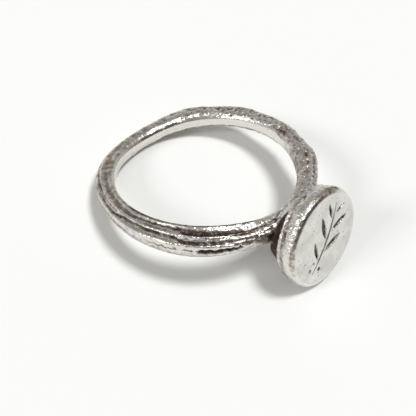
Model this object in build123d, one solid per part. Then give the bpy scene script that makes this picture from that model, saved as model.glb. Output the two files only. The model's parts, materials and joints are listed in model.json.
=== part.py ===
from build123d import *

# A silver ring with a round seal, lying on its side as it comes to rest by itself.
# A twig-like band with a true round bore carries a thick disc on a short neck of solder, and
# the three are one piece of metal. Lengths are in millimetres and angles in degrees.
# Until laid_down the ring is in its own frame: the finger's axis is Z, and the seal faces +X.

import os
from collections import namedtuple
from math import cos, radians, sin

from numpy import array

# The band. Rise and drop are measured from its middle line to its upper and lower edge.
BORE_RADIUS = 8.65
BAND_THICKNESS = 1.9
BAND_RISE = 1.2
BAND_DROP = 1.35
GROOVE_DEPTH = 0.42
BAND_WANDER = 0.45

# The seal, a thick disc with a flat polished face and a lumpy rim.
SEAL_RADIUS = 4.8
SEAL_DEPTH = 1.95
SEAL_SINK = 1.05
SEAL_LEAN = 5.7
SEAL_TURN = 6.0

# The neck of solder: the gap that it spans, and how deep it runs into the band.
NECK_SPAN = 0.75
NECK_BITE = 1.2

# The sprig cut into the seal's face: the plain margin above and below it, and how far it leans.
CUT_DEPTH = 0.2
SPRIG_MARGIN = 0.75
SPRIG_LEAN = 36.0
STEM_WIDTH = 0.28
STEM_BOW = 0.55
SPROUT_OFFSET = 0.24
LEAF_LENGTH = 2.5
LEAF_WIDTH = 0.62
LEAF_ANGLE = 42.0
BERRY_RADIUS = 0.22

# The search for how the ring lies: the widest tilt and roll tried, and the angle that is close
# enough, in degrees, and how far the skin it looks at may stray from the true one.
WIDEST_TILT = 40.0
WIDEST_ROLL = 12.0
CLOSE_ENOUGH = 0.02
SKIN_TOLERANCE = 0.02
SKIN_ANGLE = 0.3

# One row for each section round the band, from the seal towards +Y. Lengths are shares:
# thick of BAND_THICKNESS, rise of BAND_RISE, drop of BAND_DROP, the two grooves of
# GROOVE_DEPTH, and lift, which moves the whole section up, of BAND_WANDER. From 0 to 1, crest
# says how far the upper edge stands back from the finger, and shoulder how full the outer
# upper side is.
Section = namedtuple(
    "Section", "angle thick rise drop crest shoulder upper_groove lower_groove lift"
)
BAND_SECTIONS = [
    Section(0, 0.95, 0.90, 0.80, 0.3, 0.3, 0.10, 0.10, -0.90),
    Section(14, 0.96, 0.93, 0.84, 0.5, 0.3, 0.10, 0.20, -0.85),
    Section(28, 0.98, 0.96, 0.86, 0.7, 0.4, 0.15, 0.35, -0.62),
    Section(40, 1.08, 0.98, 0.86, 0.9, 0.4, 0.20, 0.45, -0.25),
    Section(50, 1.18, 0.98, 0.82, 1.0, 0.4, 0.15, 0.40, 0.15),
    Section(60, 1.06, 0.94, 0.76, 1.0, 0.4, 0.10, 0.30, 0.55),
    Section(74, 1.10, 0.92, 0.74, 1.0, 0.5, 0.10, 0.20, 0.85),
    Section(90, 1.06, 0.86, 0.72, 1.0, 0.6, 0.05, 0.15, 0.92),
    Section(104, 1.19, 0.88, 0.72, 1.0, 0.7, 0.05, 0.10, 0.75),
    Section(120, 1.12, 0.86, 0.70, 1.0, 0.8, 0.05, 0.10, 0.36),
    Section(135, 1.22, 0.90, 0.72, 1.0, 0.9, 0.00, 0.10, -0.05),
    Section(150, 1.02, 0.84, 0.72, 1.0, 1.0, 0.00, 0.05, -0.45),
    Section(168, 0.86, 0.76, 0.76, 0.9, 1.0, 0.00, 0.05, -0.75),
    Section(188, 0.84, 0.78, 0.80, 0.7, 1.0, 0.10, 0.05, -0.60),
    Section(208, 0.94, 0.84, 0.74, 0.4, 1.0, 0.25, 0.15, -0.25),
    Section(226, 0.93, 0.88, 0.66, 0.2, 0.8, 0.40, 0.45, 0.00),
    Section(244, 0.88, 0.96, 0.62, 0.0, 0.5, 0.45, 0.55, 0.20),
    Section(262, 0.94, 1.05, 0.72, 0.0, 0.3, 0.50, 0.60, 0.45),
    Section(280, 1.01, 1.10, 0.90, 0.0, 0.1, 0.60, 0.60, 0.62),
    Section(298, 1.05, 1.11, 1.04, 0.0, 0.0, 0.60, 0.60, 0.62),
    Section(315, 1.01, 1.12, 0.96, 0.0, 0.0, 0.55, 0.50, 0.35),
    Section(331, 0.95, 1.03, 0.78, 0.0, 0.0, 0.35, 0.30, -0.10),
    Section(346, 0.95, 0.95, 0.76, 0.1, 0.1, 0.15, 0.15, -0.60),
]

# The points of one section, from the middle of the inner wall over the upper edge and back.
# out is a share of the thickness, up of the rise or, below zero, of the drop. crest is added
# to out and shoulder to up as far as the section has them. The two grooves run between three
# ridges and sink towards the section's middle, and the inner wall bulges past the bore that
# trims it.
Corner = namedtuple("Corner", "out up crest shoulder upper_groove lower_groove")
SECTION_CORNERS = [
    Corner(-0.10, 0.12, 0, 0, 0, 0),
    Corner(-0.05, 0.50, 0, 0, 0, 0),
    Corner(0.04, 0.87, 0.06, 0, 0, 0),
    Corner(0.18, 1.00, 0.18, 0, 0, 0),
    Corner(0.45, 0.93, 0.13, 0.05, 1, 0),
    Corner(0.70, 0.80, 0.04, 0.15, 0, 0),
    Corner(0.82, 0.60, 0.02, 0.26, 0, 1),
    Corner(0.96, 0.40, 0, 0.18, 0, 0),
    Corner(1.00, 0.05, 0, 0, 0, 0),
    Corner(1.00, -0.22, 0, 0, 0, 0),
    Corner(0.95, -0.52, 0, 0, 0, 0),
    Corner(0.80, -0.80, 0, 0, 0, 0),
    Corner(0.52, -1.00, 0, 0, 0, 0),
    Corner(0.24, -0.78, 0, 0, 0, 0),
    Corner(0.07, -0.38, 0, 0, 0, 0),
    Corner(-0.06, -0.08, 0, 0, 0, 0),
]

# The outlines of the seal from its face to its back. depth is a share of SEAL_DEPTH and
# radius of SEAL_RADIUS. The rim rolls over in a broad bead and is narrower behind it.
SealRing = namedtuple("SealRing", "depth radius")
SEAL_RIM = [
    SealRing(0.00, 0.900),
    SealRing(0.02, 0.923),
    SealRing(0.05, 0.946),
    SealRing(0.10, 0.967),
    SealRing(0.18, 0.985),
    SealRing(0.30, 0.997),
    SealRing(0.44, 1.000),
    SealRing(0.58, 0.990),
    SealRing(0.70, 0.962),
    SealRing(0.80, 0.940),
    SealRing(0.90, 0.938),
    SealRing(1.00, 0.870),
]

# The outlines of the neck, from the seal's back to its foot in the band. reach is a share
# of NECK_SPAN and NECK_BITE together, wide and tall of SEAL_RADIUS, and slide of SEAL_SINK.
# The solder has run out along the band, so the neck is wider than it is tall.
NeckRing = namedtuple("NeckRing", "reach wide tall slide")
NECK = [
    NeckRing(0.00, 0.870, 0.870, 0.0),
    NeckRing(0.33, 0.860, 0.680, 0.3),
    NeckRing(0.70, 0.830, 0.480, 0.6),
    NeckRing(1.00, 0.680, 0.300, 0.9),
]

# How far the seal's outline strays from a circle, as shares of its radius, once round.
SEAL_OUTLINE = [0.0, -0.010, 0.006, 0.010, -0.004, 0.008, -0.006, 0.015, -0.012, -0.004]

# The leaves and berries along the stem. along is a share of the stem from its foot, side
# is +1 to the right and -1 to the left, and size is a share of the leaf's or berry's size.
Sprout = namedtuple("Sprout", "along side size")
LEAVES = [
    Sprout(0.22, -1, 0.85),
    Sprout(0.34, 1, 1.00),
    Sprout(0.50, -1, 1.05),
    Sprout(0.62, 1, 0.95),
    Sprout(0.78, -1, 0.70),
    Sprout(0.86, 1, 0.55),
]
BERRIES = [Sprout(0.10, 1, 1.0), Sprout(0.16, -1, 0.8), Sprout(0.06, -1, 0.9)]


def closed_spline(points):
    return Wire([Edge.make_spline(points, periodic=True)])


def band_section(row):
    """The band's outline in the half plane at row.angle, as a closed wire."""
    turn = radians(row.angle)
    thick = BAND_THICKNESS * row.thick
    points = []
    for corner in SECTION_CORNERS:
        out = thick * (corner.out + corner.crest * row.crest)
        up = corner.up + corner.shoulder * row.shoulder
        height = up * (BAND_RISE * row.rise if up > 0 else BAND_DROP * row.drop)
        groove = corner.upper_groove * row.upper_groove + corner.lower_groove * row.lower_groove
        sunk = Vector(thick / 2 - out, -height).normalized() * (GROOVE_DEPTH * groove)
        reach = BORE_RADIUS + out + sunk.X
        level = height + sunk.Y + BAND_WANDER * row.lift
        points.append((reach * cos(turn), reach * sin(turn), level))
    return closed_spline(points)


def band():
    """The band with its inner wall still bulging. Its first section is also its last."""
    sections = [band_section(row) for row in BAND_SECTIONS]
    return Solid.make_loft([*sections, sections[0]])


def seal_plane():
    """The seal's face: its centre, with Z outwards, X to the right and Y up."""
    first = BAND_SECTIONS[0]
    reach = BORE_RADIUS + BAND_THICKNESS * first.thick + NECK_SPAN + SEAL_DEPTH
    centre = (reach, 0, BAND_WANDER * first.lift - SEAL_SINK)
    face = Plane(origin=centre, x_dir=(0, 1, 0), z_dir=(1, 0, 0))
    return face.rotated((0, -SEAL_LEAN, -SEAL_TURN))


def seal_outline(wide, tall, depth, slide=0.0):
    """One uneven oval parallel to the seal's face, depth behind it and slide above its middle."""
    points = []
    for place, stray in enumerate(SEAL_OUTLINE):
        turn = radians(360 * place / len(SEAL_OUTLINE))
        x = wide * (1 + stray) * cos(turn)
        y = tall * (1 + stray) * sin(turn) + slide
        points.append(seal_plane().from_local_coords((x, y, -depth)))
    return closed_spline(points)


def seal():
    """The disc and the neck of solder that joins it to the band."""
    rim = []
    for row in SEAL_RIM:
        radius = SEAL_RADIUS * row.radius
        rim.append(seal_outline(radius, radius, SEAL_DEPTH * row.depth))
    neck = []
    for row in NECK:
        depth = SEAL_DEPTH + (NECK_SPAN + NECK_BITE) * row.reach
        wide, tall = SEAL_RADIUS * row.wide, SEAL_RADIUS * row.tall
        neck.append(seal_outline(wide, tall, depth, SEAL_SINK * row.slide))
    return Solid.make_loft(rim) + Solid.make_loft(neck)


def stem_point(along):
    """A point of the bowed stem, at a share of its length from its foot."""
    length = 2 * (SEAL_RADIUS * SEAL_RIM[0].radius - SPRIG_MARGIN)
    bow = STEM_BOW * 4 * along * (1 - along)
    return Vector(bow - STEM_BOW / 2, length * (along - 0.5))


def lens(start, end, width):
    """A pointed oval from start to end: two arcs that meet at the tips."""
    middle = (start + end) * 0.5
    across = (end - start).normalized().rotate(Axis.Z, 90) * (width / 2)
    left = Edge.make_three_point_arc(start, middle + across, end)
    right = Edge.make_three_point_arc(end, middle - across, start)
    return Face(Wire([left, right]))


def stem():
    """The stem: two arcs between the same tips, bowed by different amounts."""
    foot, tip = stem_point(0), stem_point(1)
    middle = stem_point(0.5)
    half = Vector(STEM_WIDTH / 2, 0)
    outer = Edge.make_three_point_arc(foot, middle + half, tip)
    inner = Edge.make_three_point_arc(tip, middle - half, foot)
    return Face(Wire([outer, inner]))


def sprig_cutter():
    """The tool that cuts the sprig, sunk CUT_DEPTH into the seal's face."""
    faces = [stem()]
    for leaf in LEAVES:
        root = stem_point(leaf.along) + Vector(leaf.side * SPROUT_OFFSET, 0)
        way = Vector(sin(radians(leaf.side * LEAF_ANGLE)), cos(radians(LEAF_ANGLE)))
        faces.append(lens(root, root + way * LEAF_LENGTH * leaf.size, LEAF_WIDTH * leaf.size))
    for berry in BERRIES:
        radius = BERRY_RADIUS * berry.size
        centre = stem_point(berry.along) + Vector(berry.side * (SPROUT_OFFSET + 2 * radius), 0)
        faces.append(Face(Wire([Edge.make_circle(radius, Plane(centre))])))
    deep = Vector(0, 0, -CUT_DEPTH)
    cutters = [Solid.extrude(face.moved(Location(deep)), deep * -2) for face in faces]
    return seal_plane().from_local_coords(Compound(cutters).rotate(Axis.Z, -SPRIG_LEAN))


def least(cost, low, high):
    """The angle between low and high at which cost is least."""
    while high - low > CLOSE_ENOUGH:
        third = (high - low) / 3
        if cost(low + third) < cost(high - third):
            high -= third
        else:
            low += third
    return (low + high) / 2


def laid_down(solid):
    """The ring turned to how it lies on a floor, with its balance point as low as it can be."""
    skin = array([tuple(point) for point in solid.tessellate(SKIN_TOLERANCE, SKIN_ANGLE)[0]])
    balance = array(tuple(solid.center(CenterOf.MASS)))

    def balance_height(tilt, roll):
        level = cos(radians(tilt))
        up = array([sin(radians(tilt)), level * sin(radians(roll)), level * cos(radians(roll))])
        return balance @ up - (skin @ up).min()

    def best_tilt(roll):
        return least(lambda tilt: balance_height(tilt, roll), 0, WIDEST_TILT)

    roll = least(lambda angle: balance_height(best_tilt(angle), angle), -WIDEST_ROLL, WIDEST_ROLL)
    tilt = best_tilt(roll)
    print(f"lies with the seal's side raised {tilt:.2f} degrees and rolled {roll:.2f} degrees")
    laid = solid.rotate(Axis.X, roll).rotate(Axis.Y, -tilt)
    box = laid.bounding_box()
    return laid.translate((-box.center().X, -box.center().Y, -box.min.Z))


def ring():
    """The whole ring in its own frame."""
    metal = band() + seal()
    ample_height = metal.bounding_box().size.Z * 2
    bore = Cylinder(BORE_RADIUS, ample_height)
    return (metal - bore - sprig_cutter()).solid()


os.makedirs("parts", exist_ok=True)
export_step(laid_down(ring()), "parts/ring.step")
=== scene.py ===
# %% [markdown]
# # A cast silver ring with a round seal
# The ring was modelled in wax, cast in silver by the lost wax way, and tumbled bright. Its band
# looks like a twig: it has bark lines, knots and pits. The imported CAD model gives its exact
# form, and this lesson dresses that form with the skin of the cast metal.

# %% Load the frame
import json
from collections import namedtuple
from math import cos, radians, sin

import bmesh
import bpy
import numpy as np
from mathutils import Matrix, Quaternion, Vector, noise
from mathutils.bvhtree import BVHTree


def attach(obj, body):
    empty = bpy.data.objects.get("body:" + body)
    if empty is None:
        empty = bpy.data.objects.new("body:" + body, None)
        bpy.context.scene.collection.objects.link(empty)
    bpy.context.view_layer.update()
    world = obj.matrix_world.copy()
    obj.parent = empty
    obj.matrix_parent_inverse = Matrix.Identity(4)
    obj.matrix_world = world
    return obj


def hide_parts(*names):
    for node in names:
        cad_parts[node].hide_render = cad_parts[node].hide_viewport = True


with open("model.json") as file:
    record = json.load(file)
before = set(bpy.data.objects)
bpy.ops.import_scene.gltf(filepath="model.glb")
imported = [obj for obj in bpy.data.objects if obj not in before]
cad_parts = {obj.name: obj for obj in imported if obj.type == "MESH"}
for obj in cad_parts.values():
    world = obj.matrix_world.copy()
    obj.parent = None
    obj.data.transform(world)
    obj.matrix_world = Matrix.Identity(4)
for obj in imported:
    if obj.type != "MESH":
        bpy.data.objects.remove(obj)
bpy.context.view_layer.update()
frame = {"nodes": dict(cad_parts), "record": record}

MM = 0.001
scene = bpy.context.scene

# %% [markdown]
# ## Where the ring is
# The ring lies on the floor with its seal's side raised, so nothing on it is level. Marks could
# be placed by hand in the floor's axes, but they would slide if the ring lay otherwise. The
# record's two mounts say where the finger's axis and the seal's face are, so two sets of axes
# come from them: the band's, with Z along the finger and X to the seal, and the seal's, with Z
# out of its face and Y up.

# %% The axes of the band and of the seal
mounts = {mount["name"]: mount for mount in frame["record"]["mounts"]}
BORE_RADIUS = mounts["finger_bore"]["dims"]["r_mm"]


def axes(mount, hint, hint_is_x):
    """The turn and place, in millimetres, of axes with the mount's Z and X or Y by the hint."""
    z = Vector(mount["axis"]).normalized()
    side = (Vector(hint) - z * z.dot(Vector(hint))).normalized()
    x, y = (side, z.cross(side)) if hint_is_x else (side.cross(z), side)
    turn = Matrix((x, y, z)).transposed().to_4x4()
    return Matrix.Translation(Vector(mount["pos_m"]) / MM) @ turn


band_axes = axes(mounts["finger_bore"], hint=(1, 0, 0), hint_is_x=True)
seal_axes = axes(mounts["seal_face"], hint=(0, 0, 1), hint_is_x=False)


def seen_in(its_axes, points):
    """The points, a row each, in those axes."""
    inverse = np.array(its_axes.inverted())
    return points @ inverse[:3, :3].T + inverse[:3, 3]


print("The finger's axis is", band_axes.col[2].xyz, "and the seal faces", seal_axes.col[2].xyz)

# %% [markdown]
# ## One even skin
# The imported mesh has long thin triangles, which can't carry small relief. It could be
# subdivided, but that keeps the thin ones. A voxel remesh lays one even net over the whole
# ring instead, and it joins seal, solder and band with a soft fillet, as molten solder does.
# It is done at a thousand times the size, so that a unit is a millimetre in every measure of
# the skin.

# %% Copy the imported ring, weld it and lay an even net over it
WELD_REACH = 0.0005
VOXEL = 0.104


def even_skin(node):
    """A new mesh in millimetres: the node's mesh, welded and remeshed."""
    net = bmesh.new()
    net.from_mesh(node.data)
    bmesh.ops.remove_doubles(net, verts=net.verts, dist=WELD_REACH * MM)
    bmesh.ops.scale(net, verts=net.verts, vec=(1 / MM,) * 3)
    mesh = bpy.data.meshes.new("welded")
    net.to_mesh(mesh)
    net.free()
    blank = bpy.data.objects.new("blank", mesh)
    scene.collection.objects.link(blank)
    remesh = blank.modifiers.new("even net", "REMESH")
    remesh.mode = "VOXEL"
    remesh.voxel_size = VOXEL
    made = blank.evaluated_get(bpy.context.evaluated_depsgraph_get())
    remeshed = bpy.data.meshes.new_from_object(made)
    bpy.data.objects.remove(blank)
    return remeshed


skin = even_skin(frame["nodes"]["ring"])
print("The even skin has", len(skin.vertices), "points and", len(skin.polygons), "faces")

# %% [markdown]
# ## The sprig
# The engraver's cuts have steep walls and sharp edges, which the remesh has blurred. The packed
# mesh still has them, so each point of the face is dropped straight onto it. The net is too
# coarse for lines under 0.3 mm wide, so it is first made finer, step by step, along the edges
# of the cuts. A boolean cut would give cleaner walls, but its long thin faces would break up
# the even net.

# %% Find the middle of the seal's face
FLAT_WITHIN = 0.02


def read(mesh, what):
    """The place ("co") or the normal ("normal") of each point of the mesh, a row each."""
    found = np.empty(len(mesh.vertices) * 3)
    mesh.vertices.foreach_get(what, found)
    return found.reshape(-1, 3)


flat = seen_in(seal_axes, read(skin, "co"))
flat = flat[np.abs(flat[:, 2]) < FLAT_WITHIN]
low, high = flat.min(0), flat.max(0)
seal_axes = seal_axes @ Matrix.Translation(Vector((*(low + high)[:2] / 2, 0)))
FACE_RADIUS = (high - low)[:2].mean() / 2
print("The seal's face is", round(2 * FACE_RADIUS, 2), "mm across")

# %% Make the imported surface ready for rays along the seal's axis
def packed_surface():
    """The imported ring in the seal's axes, as a tree that rays can hit."""
    net = bmesh.new()
    net.from_mesh(frame["nodes"]["ring"].data)
    bmesh.ops.scale(net, verts=net.verts, vec=(1 / MM,) * 3)
    bmesh.ops.transform(net, matrix=seal_axes.inverted(), verts=net.verts)
    tree = BVHTree.FromBMesh(net)
    net.free()
    return tree


surface = packed_surface()


def packed_depth(x, y):
    """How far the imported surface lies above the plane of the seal's face at x, y."""
    return surface.ray_cast(Vector((x, y, 1)), Vector((0, 0, -1)))[0].z


print("In its middle the face is", round(packed_depth(0, 0), 3), "mm from its plane")

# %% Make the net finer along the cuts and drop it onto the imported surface
# A cut's edge is where the depth changes by CUT_STEP between spots that lie a reach apart. The
# net is made finer within the first reach, and once more within the second. Further than
# FACE_DEPTH from the face's plane, and nearer than a margin to its rim, nothing is touched.
CUT_REACHES = (0.13, 0.07)
CUT_STEP = 0.05
FACE_DEPTH = 0.3
SPRIG_MARGIN, DROP_MARGIN = 0.3, 0.12
SPOTS = [(0, 0), (1, 0), (0, 1), (-1, 0), (0, -1)]
SPOTS += [(a, b) for a in (-0.7, 0.7) for b in (-0.7, 0.7)]


def on_the_face(x, y, z, margin):
    """Whether a place is by the seal's face and further than that margin from its rim."""
    return abs(z) < FACE_DEPTH and (x * x + y * y) ** 0.5 < FACE_RADIUS - margin


def beside_a_cut(face, reach):
    """Whether an edge of a cut passes within that reach of the face's middle."""
    x, y, z = seal_axes.inverted() @ face.calc_center_median()
    if not on_the_face(x, y, z, SPRIG_MARGIN):
        return False
    depths = [packed_depth(x + reach * a, y + reach * b) for a, b in SPOTS]
    return max(depths) - min(depths) > CUT_STEP


def cut_sprig(mesh):
    """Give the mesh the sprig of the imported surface."""
    net = bmesh.new()
    net.from_mesh(mesh)
    for reach in CUT_REACHES:
        edges = {edge for face in net.faces if beside_a_cut(face, reach) for edge in face.edges}
        bmesh.ops.subdivide_edges(net, edges=list(edges), cuts=1, use_grid_fill=True)
    for point in net.verts:
        x, y, z = seal_axes.inverted() @ point.co
        if on_the_face(x, y, z, DROP_MARGIN):
            point.co = seal_axes @ Vector((x, y, packed_depth(x, y)))
    bmesh.ops.triangulate(net, faces=[face for face in net.faces if len(face.verts) > 4])
    net.to_mesh(mesh)
    net.free()


cut_sprig(skin)
print("With the sprig it has", len(skin.vertices), "points and", len(skin.polygons), "faces")

# %% [markdown]
# ## Where each point lies on the ring
# Bark lines follow the band, so its relief needs its own coordinates: the angle round the
# finger, the distance out from the bore, and the way round the section. A UV map could hold
# them, but it has seams. They are measured on the skin itself instead, because the band's
# middle line wanders up and down.

# %% Angle and distance out on the band, and the same on the seal
TURN = 360
start = read(skin, "co")
in_band = seen_in(band_axes, start)
in_seal = seen_in(seal_axes, start)


def polar(points):
    """Each point's angle round Z, from 0 to 360 degrees, and its distance from Z."""
    x, y = points[:, 0], points[:, 1]
    return np.degrees(np.arctan2(y, x)) % TURN, np.hypot(x, y)


angle, from_finger = polar(in_band)
out = from_finger - BORE_RADIUS
rim_turn, from_axis = polar(in_seal)
seal_x, seal_y, behind = in_seal[:, 0], in_seal[:, 1], -in_seal[:, 2]
print("The ring reaches", round(out.max(), 2), "mm out from its bore")

# %% Height on the band and the way round its section
BAND_WIDTH = 2.0
BAND_REACH = 3
STATION_STEP, SEAL_HALF = 6, 30
stations = np.arange(SEAL_HALF, TURN - SEAL_HALF + 1, STATION_STEP)
edges_up, edges_down = [], []
for station in stations:
    near = (np.abs(angle - station) < STATION_STEP / 2) & (out < BAND_REACH)
    edges_up.append(in_band[near, 2].max())
    edges_down.append(in_band[near, 2].min())
middle = np.interp(angle, stations, (np.array(edges_up) + edges_down) / 2, period=TURN)
half = np.interp(angle, stations, (np.array(edges_up) - edges_down) / 2, period=TURN)
up = (in_band[:, 2] - middle) / half
along = np.radians(angle) * (BORE_RADIUS + BAND_WIDTH / 2)
around = np.arctan2(up, out / (BAND_WIDTH / 2) - 1) * BAND_WIDTH / 2
print("The band is", round(2 * half.min(), 2), "to", round(2 * half.max(), 2), "mm high")

# %% [markdown]
# ## The marks of the cast metal
# The wax was worked with a knife and a file, and the cast metal has kept it: lines run along
# the band like bark, a fine hatch crosses it where it was scraped, and lumps, grains and pits
# have no direction. Each could be sculpted by hand. Noise stretched to the mark's size gives
# thousands of them at once, and a table says how strong each kind is round the ring: the front
# is lined, the right side is grainy, the far side is also lumpy and pitted, and the left side
# has been scraped smooth.

# %% Bark lines along the band, and a hatch across it
# Sizes are along and round the band, in millimetres. A line stands up where the noise is near 0.
LINE_SIZE, FINE_LINE_SIZE, HATCH_SIZE = (4.0, 0.4), (2.5, 0.25), (0.26, 2.2)
LINE_TOP, FINE_LINE_SHARE = 0.3, 0.3


def marks(size_along, size_around, seed):
    """Smooth noise from -1 to 1 over the band, in marks of that size in millimetres."""
    rows = zip((along / size_along).tolist(), (around / size_around).tolist(), out.tolist())
    return np.array([noise.noise(Vector((a, b, c + seed))) for a, b, c in rows])


def tell(title, values):
    """Print how far the values go."""
    print(title, "from", round(float(values.min()), 2), "to", round(float(values.max()), 2))


line = LINE_TOP - np.abs(marks(*LINE_SIZE, seed=1)) ** 0.5
line += FINE_LINE_SHARE * marks(*FINE_LINE_SIZE, seed=2)
hatch = marks(*HATCH_SIZE, seed=6)
tell("Bark lines go", line)

# %% Lumps and pits, without a direction
# Lumps of three sizes lie on each other. A pit starts and is full where its noise passes the
# two values of PIT_EDGE.
Lumps = namedtuple("Lumps", "size seed share")
LUMPS = (Lumps(0.9, 3, 1.0), Lumps(0.5, 4, 0.6), Lumps(0.32, 15, 0.5))
PIT_SIZE, PIT_EDGE = 0.34, (0.3, 0.6)


def lumps(size, seed):
    """Smooth noise from -1 to 1 in round lumps of that size in millimetres."""
    return np.array([noise.noise(Vector(row)) for row in (start / size + seed).tolist()])


def layered(*layers):
    """Lumps of those sizes on each other, each by its share."""
    return sum(layer.share * lumps(layer.size, layer.seed) for layer in layers)


def between(value, low, high):
    """0 below low, 1 above high and a smooth step between."""
    share = np.clip((value - low) / (high - low), 0, 1)
    return share * share * (3 - 2 * share)


lump = layered(*LUMPS)
pit = -between(lumps(PIT_SIZE, seed=7), *PIT_EDGE)
tell("Lumps go", lump)

# %% Grains that touch each other
GRAIN_SIZE = 0.27
GRAIN_FALL = 2.75


def grains(size, seed):
    """Rounded grains of that size, from 1 on top down to the creases between them."""
    found = [noise.voronoi(Vector(row))[0][0] for row in (start / size + seed).tolist()]
    return 1 - GRAIN_FALL * np.array(found) ** 2


grain = grains(GRAIN_SIZE, seed=5)
tell("Grains go", grain)

# %% How strong each kind of mark is, round the band
Stretch = namedtuple("Stretch", "angle line lump grain pit hatch film stain")
STRETCHES = [
    Stretch(0, 0.3, 0.6, 0.8, 0.1, 0.0, 0.2, 0.22),
    Stretch(14, 0.3, 0.7, 1.2, 0.1, 0.0, 0.2, 0.28),
    Stretch(55, 0.4, 0.8, 1.3, 0.2, 0.0, 0.2, 0.30),
    Stretch(75, 0.6, 1.2, 1.3, 0.7, 0.1, 0.5, 0.24),
    Stretch(95, 0.5, 1.3, 1.4, 0.7, 0.3, 0.5, 0.25),
    Stretch(135, 0.3, 1.0, 0.7, 0.5, 0.7, 0.5, 0.27),
    Stretch(160, 0.2, 0.8, 0.4, 0.2, 1.0, 0.3, 0.30),
    Stretch(190, 0.2, 0.5, 0.3, 0.1, 1.2, 0.3, 0.42),
    Stretch(215, 0.5, 0.4, 0.3, 0.1, 1.2, 0.3, 0.45),
    Stretch(235, 1.0, 0.4, 0.4, 0.1, 0.6, 0.3, 0.36),
    Stretch(255, 0.9, 0.3, 0.3, 0.1, 0.2, 0.3, 0.18),
    Stretch(300, 0.7, 0.4, 0.5, 0.3, 0.0, 0.3, 0.08),
    Stretch(325, 0.6, 0.6, 0.8, 0.5, 0.0, 0.4, 0.08),
    Stretch(345, 0.6, 0.8, 0.9, 0.4, 0.0, 0.3, 0.05),
]


def from_table(rows, kind, **settings):
    """That column of a table by angle, at each point."""
    angles = [row.angle for row in rows]
    return np.interp(angle, angles, [getattr(row, kind) for row in rows], **settings)


def strength(kind):
    """How strong that kind of mark is at each point."""
    return from_table(STRETCHES, kind, period=TURN)


tell("The strength of the grain goes", strength("grain"))

# %% Where the skin is sunk below its surroundings
# Wide hollows are found against a skin that is smoothed this many times.
WIDE = 40
links = np.empty(len(skin.edges) * 2, dtype=np.int64)
skin.edges.foreach_get("vertices", links)
links = links.reshape(-1, 2)


def smoothed(points, times):
    """The points after that many rounds of moving each to the middle of its neighbours."""
    first, second = links.T
    count = np.bincount(links.ravel(), minlength=len(points))[:, None]
    for _ in range(times):
        total = np.empty_like(points)
        for axis in range(3):
            column = points[:, axis]
            total[:, axis] = np.bincount(first, column[second], len(points))
            total[:, axis] += np.bincount(second, column[first], len(points))
        points = total / count
    return points


def sunk(points, times):
    """How far each point of the skin lies below the smoothed skin, in millimetres."""
    return ((smoothed(points, times) - points) * read(skin, "normal")).sum(1)


deep = sunk(start, WIDE)
print("The CAD form alone is sunk by up to", round(deep.max(), 2), "mm")

# %% [markdown]
# ## The two long grooves
# On the front, two grooves with raised lips run along the band between three ridges. They could
# be cut with a curve and a boolean. Here a table says how far down the slope each one runs, how
# wide it is and how dark, and a little noise bends its edges, because a tool slips in wax.

# %% Where the two long grooves run down the front
# The fall says how far down the slope a point is: FALL_OUT a millimetre outwards, and
# FALL_DOWN for half the band's height downwards. upper and lower are the fall of a groove's
# middle, half is half its width in the same units, and dark is how dark it is, from 0 to 1.
FALL_OUT, FALL_DOWN = 0.75, 0.66
fall = FALL_OUT * out - FALL_DOWN * up
Course = namedtuple("Course", "angle upper upper_half upper_dark lower lower_half lower_dark")
COURSES = [
    Course(225, -0.10, 0.20, 0.05, 0.95, 0.05, 0.20),
    Course(250, 0.05, 0.16, 0.12, 0.86, 0.05, 0.40),
    Course(259, 0.08, 0.15, 0.28, 0.62, 0.08, 0.50),
    Course(270, -0.04, 0.08, 0.35, 0.58, 0.09, 0.50),
    Course(283, -0.09, 0.08, 0.35, 0.65, 0.07, 0.45),
    Course(290, -0.03, 0.11, 0.50, 0.75, 0.08, 0.55),
    Course(296, 0.20, 0.26, 0.80, 1.00, 0.13, 0.80),
    Course(302, 0.25, 0.26, 1.00, 1.02, 0.17, 0.95),
    Course(315, 0.32, 0.23, 1.00, 1.05, 0.17, 0.95),
    Course(322, 0.40, 0.26, 1.00, 1.10, 0.20, 0.90),
    Course(328, 0.41, 0.27, 1.00, 1.08, 0.22, 0.90),
    Course(335, 0.43, 0.22, 1.00, 1.32, 0.22, 0.90),
    Course(342, 0.33, 0.18, 0.80, 1.35, 0.20, 0.60),
]
tell("The fall goes", fall)

# %% Cut along a course
# From here on, two values say where something starts and is full, or starts to end and has
# ended, and four values say both. Angles are in degrees, distances in millimetres, and heights
# on the band (up) in shares of half its height.
GROOVED = (222, 240, 338, 348)
OFF_INNER_WALL = (0.25, 0.4)
GROOVE_EDGE, LIP_REACH = 0.1, 0.12
LIP_FULL = 0.5
SLIPS = (Lumps(0.8, 18, 0.05), Lumps(0.3, 19, 0.03))
slip = layered(*SLIPS)


def below(value, low, high):
    """1 below low, 0 above high and a smooth step between."""
    return between(-value, -high, -low)


def within(value, starts, full, ends, gone):
    """1 from full to ends, 0 outside starts to gone, and smooth steps between."""
    return between(value, starts, full) * below(value, ends, gone)


def cut_along(name):
    """How dark the groove of that name is at each point, and how raised its lips are."""
    aside = np.abs(fall + slip - from_table(COURSES, name))
    inside = from_table(COURSES, name + "_half") + GROOVE_EDGE / 2 - aside
    dark = from_table(COURSES, name + "_dark")
    span = within(angle, *GROOVED) * between(out, *OFF_INNER_WALL)
    lips = below(np.abs(inside + GROOVE_EDGE), 0, LIP_REACH) * np.clip(dark / LIP_FULL, 0, 1)
    return between(inside, 0, GROOVE_EDGE) * dark * span, lips * span


def tell_share(title, share):
    """Print how much of the skin's points a share covers."""
    print(title, round(100 * float(share.mean()), 1), "percent of the points")


upper_groove, upper_lips = cut_along("upper")
lower_groove, lower_lips = cut_along("lower")
groove = np.maximum(upper_groove, lower_groove)
tell_share("The grooves cover", groove)

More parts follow.
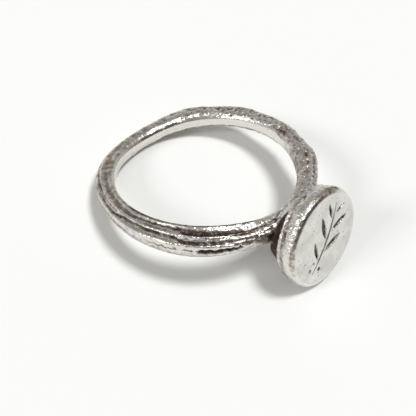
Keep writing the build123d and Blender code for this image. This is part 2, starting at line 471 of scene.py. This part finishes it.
# %% [markdown]
# ## The places on the ring
# The seal was soldered on: a neck of solder holds it, with a smooth web where it hangs between
# band and seal, and the seal's face was ground flat. The web is darkened with full film, partly as
# tarnish and partly as a painted reflection of the shadowed floor under it. Vertex groups could
# mark such places by hand. They are worked out from the distances instead, so they fit the skin
# exactly and end softly.

# %% Where the seal, the neck and the web of solder are
# Out is from the bore and behind from the seal's face. Reach is from the seal's axis, height
# above it and across to its side. The web is the lower neck, and a strip on its near side.
SEAL_OUT, SEAL_REACH = (2.2, 2.8), 6
NECK_OUT, NECK_BEHIND, NECK_REACH = (1.2, 1.9), (1.75, 2.1, 4.5, 5.5), (5.0, 5.6)
WEB_HEIGHT, NECK_TOP = (-0.2, 1.4), (2.3, 2.9)
STRIP_OUT, STRIP_BEHIND = (1.3, 1.55), (1.85, 2.1, 2.85, 3.15)
STRIP_ACROSS = (-4.7, -4.2, -2.2, -1.4)
seal_share = between(out, *SEAL_OUT) * (from_axis < SEAL_REACH)
band_share = 1 - seal_share
neck_share = between(out, *NECK_OUT) * within(behind, *NECK_BEHIND)
neck_share *= below(from_axis, *NECK_REACH)
strip = within(behind, *STRIP_BEHIND) * between(out, *STRIP_OUT) * within(seal_x, *STRIP_ACROSS)
# Painted reflection: the web later gets full film, dark like the shadowed floor below it, besides
# its tarnish.
web_share = np.maximum(neck_share * below(seal_y, *WEB_HEIGHT), strip)
neck_top = neck_share * between(seal_y, *NECK_TOP) * (1 - strip)
tell_share("The seal covers", seal_share)

# %% Where the stretches of the band are
OFF_BORE = (0.03, 0.25)
FRONT, LOWER_SIDE = (228, 256, 335, 350), (-0.3, 0.0)
SMOOTH_LEFT, SMOOTH_OUT = (145, 195, 255, 290), (1.1, 1.4)
off_bore = between(out, *OFF_BORE)
lower_front = within(angle, *FRONT) * below(up, *LOWER_SIDE)
smooth_left = within(angle, *SMOOTH_LEFT) * below(out, *SMOOTH_OUT)
tell_share("The lower front covers", lower_front)

# %% The crack along the lower front
# It opens from a thin line, and closes again towards the seal. Widths and the drop below the
# band's middle are shares of half its height. It wanders along the band alone, so its noise is
# 50 mm long round the section.
WANDER_SIZE, WANDER_SHARE = (0.4, 50.0), 0.16
CRACK_OUT, CRACK_END = 1, (318, 328)
OPEN_HALF, OPEN_RAGGED, OPEN_CLOSING = 0.19, Lumps(0.45, 17, 0.09), (316, 326)
THIN_SHARE = 0.5
wander = WANDER_SHARE * marks(*WANDER_SIZE, seed=8)


def crack_at(drop, half_width, edge, opening):
    """How open a crack is at each point, from 0 to 1."""
    inside = half_width - np.abs(up + drop + wander)
    return between(inside, 0, edge) * between(angle, *opening)


open_half = OPEN_HALF + layered(OPEN_RAGGED)
open_half -= OPEN_RAGGED.share * between(angle, *OPEN_CLOSING)
open_crack = crack_at(drop=0.12, half_width=open_half, edge=0.12, opening=(299, 304))
thin_crack = crack_at(drop=0.05, half_width=0.05, edge=0.05, opening=(272, 282))
crack = np.maximum(open_crack, THIN_SHARE * thin_crack)
crack *= below(angle, *CRACK_END) * (out > CRACK_OUT)
tell_share("The crack covers", crack)

# %% [markdown]
# ## The relief
# All marks together move each point of the skin along its normal by less than a quarter of a
# millimetre. A bump map would look much the same from above, but the outline would stay
# smooth. The grooves of the CAD form run a little too high, so they are partly filled before
# the true ones are cut.

# %% Add up the marks on the band
# Heights and depths are in millimetres. The lower groove is filled with beads of metal, which
# are flatter near its end. The bark lines leave the inner wall smooth.
HEIGHTS = {"line": 0.06, "lump": 0.045, "grain": 0.035, "pit": 0.1, "hatch": 0.02}
GROOVE_DEPTH, LIP_HEIGHT, CRACK_DEPTH = 0.11, 0.04, 0.16
FILL_SHARE, FILL_FROM = 0.9, 0.01
BEAD_SIZE, BEAD_HEIGHT, FLATTER, FLATTER_BEADS = 0.42, 0.06, 0.8, (308, 320)
LINES_OUT = (0.3, 0.8)
line *= between(out, *LINES_OUT)
fields = {"line": line, "lump": lump, "grain": grain, "pit": pit, "hatch": hatch}
relief = sum(height * strength(kind) * fields[kind] for kind, height in HEIGHTS.items())
beads = grains(BEAD_SIZE, seed=10) * (1 - FLATTER * between(angle, *FLATTER_BEADS))
relief += BEAD_HEIGHT * lower_groove * beads
relief += FILL_SHARE * np.maximum(deep - FILL_FROM, 0) * (1 - neck_share)
relief += LIP_HEIGHT * np.maximum(upper_lips, lower_lips) * (1 - groove)
relief -= GROOVE_DEPTH * groove + CRACK_DEPTH * crack
relief *= band_share * off_bore
tell("In millimetres, the band's relief goes", relief)

# %% Add the marks on the seal's rim, and smooth the solder
# The rim is lumpy too, and its edge is worn down at the lower left, but the face is flat.
RIM_BEHIND = (0.04, 0.3)
RIM_LUMP, RIM_GRAIN, RIM_PIT = 0.04, 0.025, 0.02
WORN_TURN, WORN_IN, WORN_BEHIND = (195, 215, 262, 280), (-0.5, -0.1), 0.6
WORN_LUMPS, WORN_DEPTH = Lumps(0.4, 12, 0.03), 0.02
SMOOTH_WEB, SMOOTH_TOP = 0.9, 0.7
rim = seal_share * between(behind, *RIM_BEHIND)
relief += rim * (RIM_LUMP * lump + RIM_GRAIN * grain + RIM_PIT * pit)
worn_edge = within(rim_turn, *WORN_TURN) * between(from_axis - FACE_RADIUS, *WORN_IN)
worn_edge *= seal_share * (behind < WORN_BEHIND)
relief += worn_edge * (layered(WORN_LUMPS) - WORN_DEPTH)
relief *= (1 - SMOOTH_WEB * web_share) * (1 - SMOOTH_TOP * neck_top)
moved = start + read(skin, "normal") * relief[:, None]
tell("In millimetres, the whole relief goes", relief)

# %% File the upper edge inside rounder, on the far and left sides
FILED_SIDE, FILED_UP = (75, 95, 185, 205), (0.2, 0.8)
FILED_DEPTH, FILED_REACH = 0.18, 0.85
filed = within(angle, *FILED_SIDE) * between(up, *FILED_UP) * band_share
filed *= FILED_DEPTH * np.clip(1 - out / FILED_REACH, 0, 1) ** 2
moved -= filed[:, None] * np.array(band_axes.col[2].xyz)
skin.vertices.foreach_set("co", moved.ravel())
skin.update()
print("The edge is filed down by up to", round(filed.max(), 2), "mm")

# %% [markdown]
# ## Where tarnish stays
# Polishing takes the tarnish off whatever stands proud and leaves it in the hollows. It could
# be painted on, or found by the renderer's ambient occlusion, which is slow and can't be
# exported. Here a point is hollow if it lies below the average of its neighbours, so the skin
# is compared with smoothed copies of itself. The share is kept on the mesh for the material.

# %% How hollow the skin is at each point
# Fine hollows are found against a skin that is smoothed only a few times.
FINE = 4
FINE_HOLLOW, FINE_SHARE = (-0.004, 0.022), 0.5
WIDE_HOLLOW, WIDE_SHARE = (-0.03, 0.14), 0.7
hollow = FINE_SHARE * between(sunk(moved, FINE), *FINE_HOLLOW)
hollow += WIDE_SHARE * between(sunk(moved, WIDE), *WIDE_HOLLOW)
tell_share("Hollows cover", hollow)

# %% The film on the band
# Some places were wiped cleaner than their hollows say, and some have kept more film.
RIGHT_END = (14, 26)
FILM_BASE, GROOVE_WIPED, LEFT_CLEAN = 0.5, 0.5, 0.5
right_end = below(angle, *RIGHT_END)
wiped = [(neck_share, 0.7), (lower_front, 0.5), (smooth_left, 0.3), (right_end, 0.6)]
kept = [(upper_groove, 0.5), (lower_groove, 0.46), (crack, 0.9), (lower_front, 0.22)]
for place, share in wiped:
    hollow *= 1 - share * place
film = hollow * (FILM_BASE + strength("film")) * (1 - GROOVE_WIPED * groove) + strength("stain")
film = np.minimum(film, 1 - LEFT_CLEAN * smooth_left)
film += sum(share * place for place, share in kept)
film *= off_bore * band_share
tell("The film on the band goes", film)

# %% Painted shade and small pits on the upper edge
# Painted shade dims the highlight on the crest above the upper groove, a cluster of pits lies far
# right inside the edge, and a painted dark reflection runs along the near band's inner edge.
DIMMED_FALL, DIMMED_SIDE, DIMMED_OUT, CREST_SHADE = (-0.22, -0.14), (250, 262, 288, 298), (0.05, 0.2), 0.25
PITS_SIDE, PITS_UP, PITS_OUT = (64, 66.5, 70.5, 73), (0.4, 0.7), (0.5, 0.8)
PITS_FILM, PITS_RAGGED = 0.45, Lumps(0.3, 16, 0.5)
EDGE_OUT, EDGE_UP, EDGE_SIDE = (-0.10, 0.02, 0.30, 0.42), (0.5, 0.8), (230, 262, 330, 342)
EDGE_SHADE, EDGE_MORE_SHADE, EDGE_DARKENS = 0.5, 0.4, (285, 300)
dimmed_crest = below(fall, *DIMMED_FALL) * within(angle, *DIMMED_SIDE) * between(out, *DIMMED_OUT)
pitted = within(angle, *PITS_SIDE) * between(up, *PITS_UP) * below(out, *PITS_OUT)
inner_edge = within(out, *EDGE_OUT) * between(up, *EDGE_UP) * within(angle, *EDGE_SIDE)
# Painted shade: it dims the highlight on the crest above the upper groove.
film += CREST_SHADE * dimmed_crest
film += pitted * (PITS_FILM + layered(PITS_RAGGED))
# Painted reflection: a dark line along the near band's inner edge, darker further round towards
# the seal.
film += inner_edge * (EDGE_SHADE + EDGE_MORE_SHADE * between(angle, *EDGE_DARKENS))
tell("With the stains it goes", film)

# %% The film on the neck, the seal's rim and the bore
# The rim's back is darker but for its right side, and so is the bore at its far right.
NECK_TOP_FILM = 0.35
RIM_FILM, RIM_HOLLOWS, RIM_CLOUDS, RIM_EDGE = 0.12, 0.4, Lumps(0.9, 13, 0.15), (0.1, 0.5)
BACK_FILM, BACK_BEHIND, BACK_ACROSS = 0.2, (0.6, 1.4), 2
BORE_FILM, BORE_CLOUDS = 0.05, Lumps(0.4, 14, 0.15)
BORE_END_FILM, BORE_END = 0.45, (45, 75)
film += NECK_TOP_FILM * neck_top
on_rim = RIM_HOLLOWS * hollow + RIM_FILM + layered(RIM_CLOUDS)
film += seal_share * between(behind, *RIM_EDGE) * on_rim
film += BACK_FILM * seal_share * between(behind, *BACK_BEHIND) * (seal_x < BACK_ACROSS)
in_bore = BORE_END_FILM * below(angle, *BORE_END) + layered(BORE_CLOUDS) + BORE_FILM
film += (1 - off_bore) * band_share * in_bore
tell("With the neck, the rim and the bore it goes", film)

# %% The painted dark shoulder beside the polished face, the web, and the cuts
# The shoulder between face and bead is darkened over the top and down the left side, most widely
# right of the top: a painted dark reflection, with some real dirt on the lower left. The web gets
# full film, partly tarnish and partly a painted reflection of the shadowed floor. The film fills
# each cut of the sprig.
SHOULDER_OUT, SHOULDER_TURN = (-0.03, 0.05), (35, 60, 190, 205)
SHOULDER_WIDTH, SHOULDER_WIDER, WIDER_TURN, SHOULDER_EDGE = 0.4, 0.25, (75, 105), 0.15
SHOULDER_SHADE_AND_FILM, SHOULDER_RAGGED = 0.45, Lumps(0.3, 9, 0.25)
CUT_FILM, CUT_BEHIND, CUT_DEEPEST, CUT_IN = 0.75, (0.02, 0.1), 0.4, (0.1, 0.3)
shoulder_end = SHOULDER_WIDTH + SHOULDER_WIDER * below(rim_turn, *WIDER_TURN)
shoulder = between(shoulder_end - behind, -SHOULDER_EDGE, SHOULDER_EDGE) * seal_share
shoulder *= between(from_axis - FACE_RADIUS, *SHOULDER_OUT) * within(rim_turn, *SHOULDER_TURN)
# Painted shade: the darkened shoulder stands in for a dark reflection, with dirt low on the left.
film += shoulder * (SHOULDER_SHADE_AND_FILM + layered(SHOULDER_RAGGED))
in_cut = between(behind, *CUT_BEHIND) * between(FACE_RADIUS - from_axis, *CUT_IN)
in_cut *= behind < CUT_DEEPEST
# Painted reflection: the web is filled to full film, dark like the shadowed floor, besides its
# tarnish.
film = np.clip(np.maximum(film, np.maximum(web_share, CUT_FILM * in_cut)), 0, 1)
tell_share("The film covers", film)

# %% Keep the shares on the mesh and make the piece
# Besides the film, which also carries the painted shade of the web, the shoulder and the upper
# edge, the material reads what is polished, scraped or grainy, and the way along, around and out
# of the band.
FACE_EDGE, FACE_BEHIND = (-0.05, 0.1), 0.3
BORE_GRAIN, RIM_GRAINY = 0.3, 1.4
face_share = between(FACE_RADIUS - from_axis, *FACE_EDGE) * (behind < FACE_BEHIND)
grainy = strength("grain") * band_share * (BORE_GRAIN + (1 - BORE_GRAIN) * off_bore)
shares = {
    "film": film,
    "polished": face_share,
    "hatch": strength("hatch") * band_share,
    "grainy": grainy * (1 - web_share) + RIM_GRAINY * rim,
}
for name, share in shares.items():
    skin.attributes.new(name, "FLOAT", "POINT").data.foreach_set("value", share)
way = np.stack([along, around, out], 1)
skin.attributes.new("way", "FLOAT_VECTOR", "POINT").data.foreach_set("vector", way.ravel())
skin.transform(Matrix.Scale(MM, 4))
skin.shade_smooth()
ring = bpy.data.objects.new("cast_ring", skin)
scene.collection.objects.link(ring)
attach(ring, "root")
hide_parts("ring")
print(ring.name, "has", len(skin.polygons), "faces and the shares", list(shares))

# %% [markdown]
# ## Cast silver
# Sterling silver reflects nearly all light, with a slightly warm white. Cast and tumbled, it
# has a bright skin with a fine grain, so its reflections are soft. In the hollows silver
# sulphide has left a brown-black film, which is darker and duller. Image textures could show
# this, but a node for each of these things stays sharp from near by, and can be tuned alone.

# %% Colours and nodes
# The sRGB curve: a straight foot, and a power above it.
SRGB_FOOT, SRGB_SLOPE, SRGB_LIFT, SRGB_POWER = 0.04045, 12.92, 0.055, 2.4


def linear(code):
    """An sRGB hex colour as linear RGBA."""
    values = [int(code[place : place + 2], 16) / 255 for place in (1, 3, 5)]
    foot = [value / SRGB_SLOPE for value in values]
    curve = [((value + SRGB_LIFT) / (1 + SRGB_LIFT)) ** SRGB_POWER for value in values]
    return (*[f if v <= SRGB_FOOT else c for v, f, c in zip(values, foot, curve)], 1)


def add(tree, kind, inputs=(), **settings):
    """A new node with its settings. Its inputs, by name or in order, are set or linked."""
    made = tree.nodes.new(kind)
    for name, value in settings.items():
        setattr(made, name, value)
    named = inputs.items() if isinstance(inputs, dict) else enumerate(inputs)
    for name, value in named:
        if isinstance(value, bpy.types.Node):
            value = value.outputs[0]
        if isinstance(value, bpy.types.NodeSocket):
            tree.links.new(value, made.inputs[name])
        else:
            made.inputs[name].default_value = value
    return made


def new_material(name):
    """A material with an empty Principled shader: the material, its tree and the shader."""
    material = bpy.data.materials.new(name)
    material.use_nodes = True
    tree = material.node_tree
    tree.nodes.clear()
    shader = add(tree, "ShaderNodeBsdfPrincipled")
    add(tree, "ShaderNodeOutputMaterial", {"Surface": shader})
    return material, tree, shader


# The film colours are real tarnish, and also paint shade on the web, the shoulder and the upper
# edge.
CLEAN_SILVER, WORN_SILVER, DULL_SILVER = linear("#E0DDD8"), linear("#E2E1DC"), linear("#CFCECA")
THIN_FILM_AND_SHADE, TARNISH_AND_SHADE = linear("#A29991"), linear("#453B33")
print("Clean silver in linear light is", [round(value, 3) for value in CLEAN_SILVER])

# %% Spots and scratches, worked out from their real sizes
# Spots have a size in millimetres, and their noise from low to high becomes start to end. There
# are blotches in the film, and specks and clouds on the polished face. The face's hair scratches
# are drawn 0.07 mm wide, coarser than real ones, so that they show.
Spots = namedtuple("Spots", "size detail low high start end")
SPOTS_OF = {
    "blotch": Spots(0.5, 2.0, 0.3, 0.7, -0.2, 0.2),
    "specks": Spots(0.16, 0.0, 0.71, 0.8, 0.0, 0.6),
    "clouds": Spots(1.4, 2.0, 0.35, 0.65, 0.0, 1.0),
}
SCRATCH_SIZE, SCRATCH_RANGE = (0.5, 0.07, 1.6), (0.64, 0.72, 0.0, 0.15)


def all_spots(tree, place):
    """Each kind of spots by its name, at places given in metres."""
    made = {}
    for name, spots in SPOTS_OF.items():
        settings = {"Vector": place, "Scale": 1 / (spots.size * MM), "Detail": spots.detail}
        found = add(tree, "ShaderNodeTexNoise", settings)
        made[name] = add(tree, "ShaderNodeMapRange", [found, *spots[2:]])
    return made


def face_marks(tree, place, specks, polished):
    """Specks and scratches, on the polished face alone."""
    scale = [1 / (size * MM) for size in SCRATCH_SIZE]
    stretched = add(tree, "ShaderNodeVectorMath", [place, scale], operation="MULTIPLY")
    scratches = add(tree, "ShaderNodeTexNoise", {"Vector": stretched, "Scale": 1.0})
    scratches = add(tree, "ShaderNodeMapRange", [scratches, *SCRATCH_RANGE])
    marked = add(tree, "ShaderNodeMath", [specks, scratches], operation="MAXIMUM")
    return add(tree, "ShaderNodeMath", [marked, polished], operation="MULTIPLY")


print("Spots of", [spots.size for spots in SPOTS_OF.values()], "mm")

# %% The fine grain and the scrape marks, as a bump
# Marks finer than the net are left to a bump. The cast skin has the grain of its plaster mould,
# drawn 0.13 mm wide so that it shows. There are 7 scrape marks a millimetre, 2.5 mm long.
FINE_GRAIN, SCRAPES_PER_MM = 0.13, (7.0, 0.4, 0.4)
SCRAPE_HEIGHT, GRAINY_HEIGHT, LEAST_HEIGHT = 2.0, 2.0, 0.5
BUMP_STRENGTH, BUMP_HEIGHT = 0.6, 0.025


def skin_bump(tree, place, way, hatched, grainy):
    """The bump of the cast skin: grain everywhere, more where grainy, scraped where hatched."""
    plaster = add(tree, "ShaderNodeTexNoise", {"Vector": place, "Scale": 1 / (FINE_GRAIN * MM)})
    share = [grainy, GRAINY_HEIGHT, LEAST_HEIGHT]
    share = add(tree, "ShaderNodeMath", share, operation="MULTIPLY_ADD")
    plaster = add(tree, "ShaderNodeMath", [share, plaster], operation="MULTIPLY")
    stretched = add(tree, "ShaderNodeVectorMath", [way, SCRAPES_PER_MM], operation="MULTIPLY")
    scrapes = add(tree, "ShaderNodeTexNoise", {"Vector": stretched, "Scale": 1.0})
    scrapes = add(tree, "ShaderNodeMath", [scrapes, hatched], operation="MULTIPLY")
    height = [scrapes, SCRAPE_HEIGHT, plaster]
    height = add(tree, "ShaderNodeMath", height, operation="MULTIPLY_ADD")
    settings = {"Height": height, "Strength": BUMP_STRENGTH, "Distance": BUMP_HEIGHT * MM}
    return add(tree, "ShaderNodeBump", settings)


print("The grain is", FINE_GRAIN, "mm wide and its bump", BUMP_HEIGHT, "mm high")

# %% The cast silver
# The film comes in two layers, each over a range of dirt and painted shade: a thin grey
# one, then brown-black. The more of both, the rougher. The face is rubbed a little rougher than
# the tumbled skin.
THIN_RANGE, DARK_RANGE = (0.2, 0.55), (0.5, 0.95)
ROUGH_RANGE, RUBBED_ROUGH = (0.0, 1.0, 0.2, 0.55), 0.12


def cast_silver():
    """Cast silver: bright and grainy, polished on the face, dark in its hollows and where shade is
    painted.
    """
    material, tree, shader = new_material("cast_silver")
    shader.inputs["Metallic"].default_value = 1
    place = add(tree, "ShaderNodeTexCoord").outputs["Object"]
    kept_share = {}
    for name in shares:
        kept_share[name] = add(tree, "ShaderNodeAttribute", attribute_name=name).outputs["Fac"]
    way = add(tree, "ShaderNodeAttribute", attribute_name="way").outputs["Vector"]
    polished = kept_share["polished"]

    spots = all_spots(tree, place)
    marked = face_marks(tree, place, spots["specks"], polished)
    dirt_and_shade = add(tree, "ShaderNodeMath", [kept_share["film"], spots["blotch"]], operation="ADD")
    dirt_and_shade = add(tree, "ShaderNodeMath", [dirt_and_shade, marked], operation="ADD")
    thin = add(tree, "ShaderNodeMapRange", [dirt_and_shade, *THIN_RANGE])
    dark = add(tree, "ShaderNodeMapRange", [dirt_and_shade, *DARK_RANGE])

    # A Mix node takes its two colours at inputs 6 and 7, and gives the mixed one at output 2.
    worn = {0: spots["clouds"], 6: WORN_SILVER, 7: DULL_SILVER}
    worn = add(tree, "ShaderNodeMix", worn, data_type="RGBA").outputs[2]
    metal = {0: polished, 6: CLEAN_SILVER, 7: worn}
    metal = add(tree, "ShaderNodeMix", metal, data_type="RGBA").outputs[2]
    filmed = {0: thin, 6: metal, 7: THIN_FILM_AND_SHADE}
    filmed = add(tree, "ShaderNodeMix", filmed, data_type="RGBA").outputs[2]
    colour = {0: dark, 6: filmed, 7: TARNISH_AND_SHADE}
    colour = add(tree, "ShaderNodeMix", colour, data_type="RGBA").outputs[2]

    rough = add(tree, "ShaderNodeMapRange", [dirt_and_shade, *ROUGH_RANGE])
    rough = [polished, RUBBED_ROUGH, rough]
    rough = add(tree, "ShaderNodeMath", rough, operation="MULTIPLY_ADD")
    bump = skin_bump(tree, place, way, kept_share["hatch"], kept_share["grainy"])
    tree.links.new(colour, shader.inputs["Base Color"])
    tree.links.new(rough.outputs[0], shader.inputs["Roughness"])
    tree.links.new(bump.outputs[0], shader.inputs["Normal"])
    return material


skin.materials.append(cast_silver())
print(skin.materials[0].name, "has", len(skin.materials[0].node_tree.nodes), "nodes")

# %% [markdown]
# ## The studio
# A white table under soft light. Silver shows its surroundings more than itself, so what it
# reflects matters most. Panels could stand round the ring, but they would show in other views.
# The room is painted on the sky instead: it is dim, with one pale side, and a dark doorway on
# the seal's side, whose reflection gives the silver its dark accents.

# %% The white table
# Card scatters light evenly, so it is almost fully rough: the eye sees no reflection in it, only
# the ring's shadow.
TABLE_SIZE, CARD_ROUGH = 3.0, 0.9
WHITE_CARD = linear("#F5F6F5")


def table():
    """The table, as one flat sheet of white card."""
    net = bmesh.new()
    bmesh.ops.create_grid(net, x_segments=1, y_segments=1, size=TABLE_SIZE / 2)
    mesh = bpy.data.meshes.new("table")
    net.to_mesh(mesh)
    net.free()
    made = bpy.data.objects.new("table", mesh)
    scene.collection.objects.link(made)
    material, _, shader = new_material("white_card")
    shader.inputs["Base Color"].default_value = WHITE_CARD
    shader.inputs["Roughness"].default_value = CARD_ROUGH
    mesh.materials.append(material)
    return made


table()
print("The table is", TABLE_SIZE, "m wide")

# %% The room
# Heights and the two ways are cosines: 1 where a ray goes straight up, or straight that way.
PALE_WALL, DIM_ROOM, DARK_DOORWAY = linear("#E2E2E0"), linear("#9F9E9B"), linear("#33302E")
PALE_SIDE = Vector((-1, 1, 0)).normalized()
DOORWAY = Vector((0.94, 0.02, 0.34)).normalized()
WALL_TOP, WALL_WAY, DOORWAY_EDGE = (0.4, 0.2), (0.0, 0.6), (0.74, 0.87)


def room():
    """The room's walls, painted on the sky."""
    world = bpy.data.worlds.new("room")
    world.use_nodes = True
    tree = world.node_tree
    tree.nodes.clear()
    ray = add(tree, "ShaderNodeTexCoord").outputs["Generated"]
    height = add(tree, "ShaderNodeSeparateXYZ", [ray]).outputs["Z"]
    aside = add(tree, "ShaderNodeVectorMath", [ray, PALE_SIDE], operation="DOT_PRODUCT")
    ahead = add(tree, "ShaderNodeVectorMath", [ray, DOORWAY], operation="DOT_PRODUCT")
    low = add(tree, "ShaderNodeMapRange", [height, *WALL_TOP])
    side = add(tree, "ShaderNodeMapRange", [aside.outputs["Value"], *WALL_WAY])
    door = add(tree, "ShaderNodeMapRange", [ahead.outputs["Value"], *DOORWAY_EDGE])
    pale = add(tree, "ShaderNodeMath", [low, side], operation="MULTIPLY")
    walls = {0: pale, 6: DIM_ROOM, 7: PALE_WALL}
    walls = add(tree, "ShaderNodeMix", walls, data_type="RGBA").outputs[2]
    colour = {0: door, 6: walls, 7: DARK_DOORWAY}
    colour = add(tree, "ShaderNodeMix", colour, data_type="RGBA").outputs[2]
    light = add(tree, "ShaderNodeBackground", {"Color": colour, "Strength": 1.0})
    add(tree, "ShaderNodeOutputWorld", {"Surface": light})
    return world


scene.world = room()
print("The", scene.world.name, "has", len(scene.world.node_tree.nodes), "nodes")

# %% The lamps
Lamp = namedtuple("Lamp", "name azimuth elevation width strength")
LAMPS = [
    Lamp("ceiling", 22, 76, 15, 1.9),
    Lamp("window", 245, 34, 17, 0.9),
]


def hang(lamp):
    """A far round lamp, as wide as that angle. Azimuth counts from +X towards +Y."""
    data = bpy.data.lights.new(lamp.name, "SUN")
    data.angle = radians(lamp.width)
    data.energy = lamp.strength
    made = bpy.data.objects.new(lamp.name, data)
    turn, rise = radians(lamp.azimuth), radians(lamp.elevation)
    towards = Vector((cos(rise) * cos(turn), cos(rise) * sin(turn), sin(rise)))
    made.rotation_mode = "QUATERNION"
    made.rotation_quaternion = towards.to_track_quat("Z", "Y")
    scene.collection.objects.link(made)


for lamp in LAMPS:
    hang(lamp)
    print("The", lamp.name, "lamp is", lamp.elevation, "degrees above the table")

# %% [markdown]
# ## The camera
# The picture was taken from close by with a long lens, 50 degrees above the table and turned a
# little, so upright things lean to the right. Its place and aim could be found by eye. They were
# fitted instead, to the rim of the hole, the seal's outline and the edges of the band.

# %% Camera
# Place and aim are in millimetres, and the focal length is in pixels of the picture.
CAMERA_PLACE = Vector((25.461, -50.547, 67.091)) * MM
CAMERA_AIM = Vector((0.136, -3.156, 3.488)) * MM
CAMERA_TURN = 10.07
PICTURE_WIDTH = 416
FOCAL_LENGTH_PX = 900
SENSOR = 36

camera = bpy.data.objects.new("camera", bpy.data.cameras.new("camera"))
scene.collection.objects.link(camera)
camera.data.sensor_width = SENSOR
camera.data.lens = SENSOR * FOCAL_LENGTH_PX / PICTURE_WIDTH
camera.data.clip_start = MM
camera.location = CAMERA_PLACE
camera.rotation_mode = "QUATERNION"
look = (CAMERA_AIM - CAMERA_PLACE).to_track_quat("-Z", "Y")
camera.rotation_quaternion = look @ Quaternion((0, 0, 1), radians(CAMERA_TURN))
scene.camera = camera
scene.view_settings.view_transform = "Standard"
print("The lens is", round(camera.data.lens, 1), "mm long")
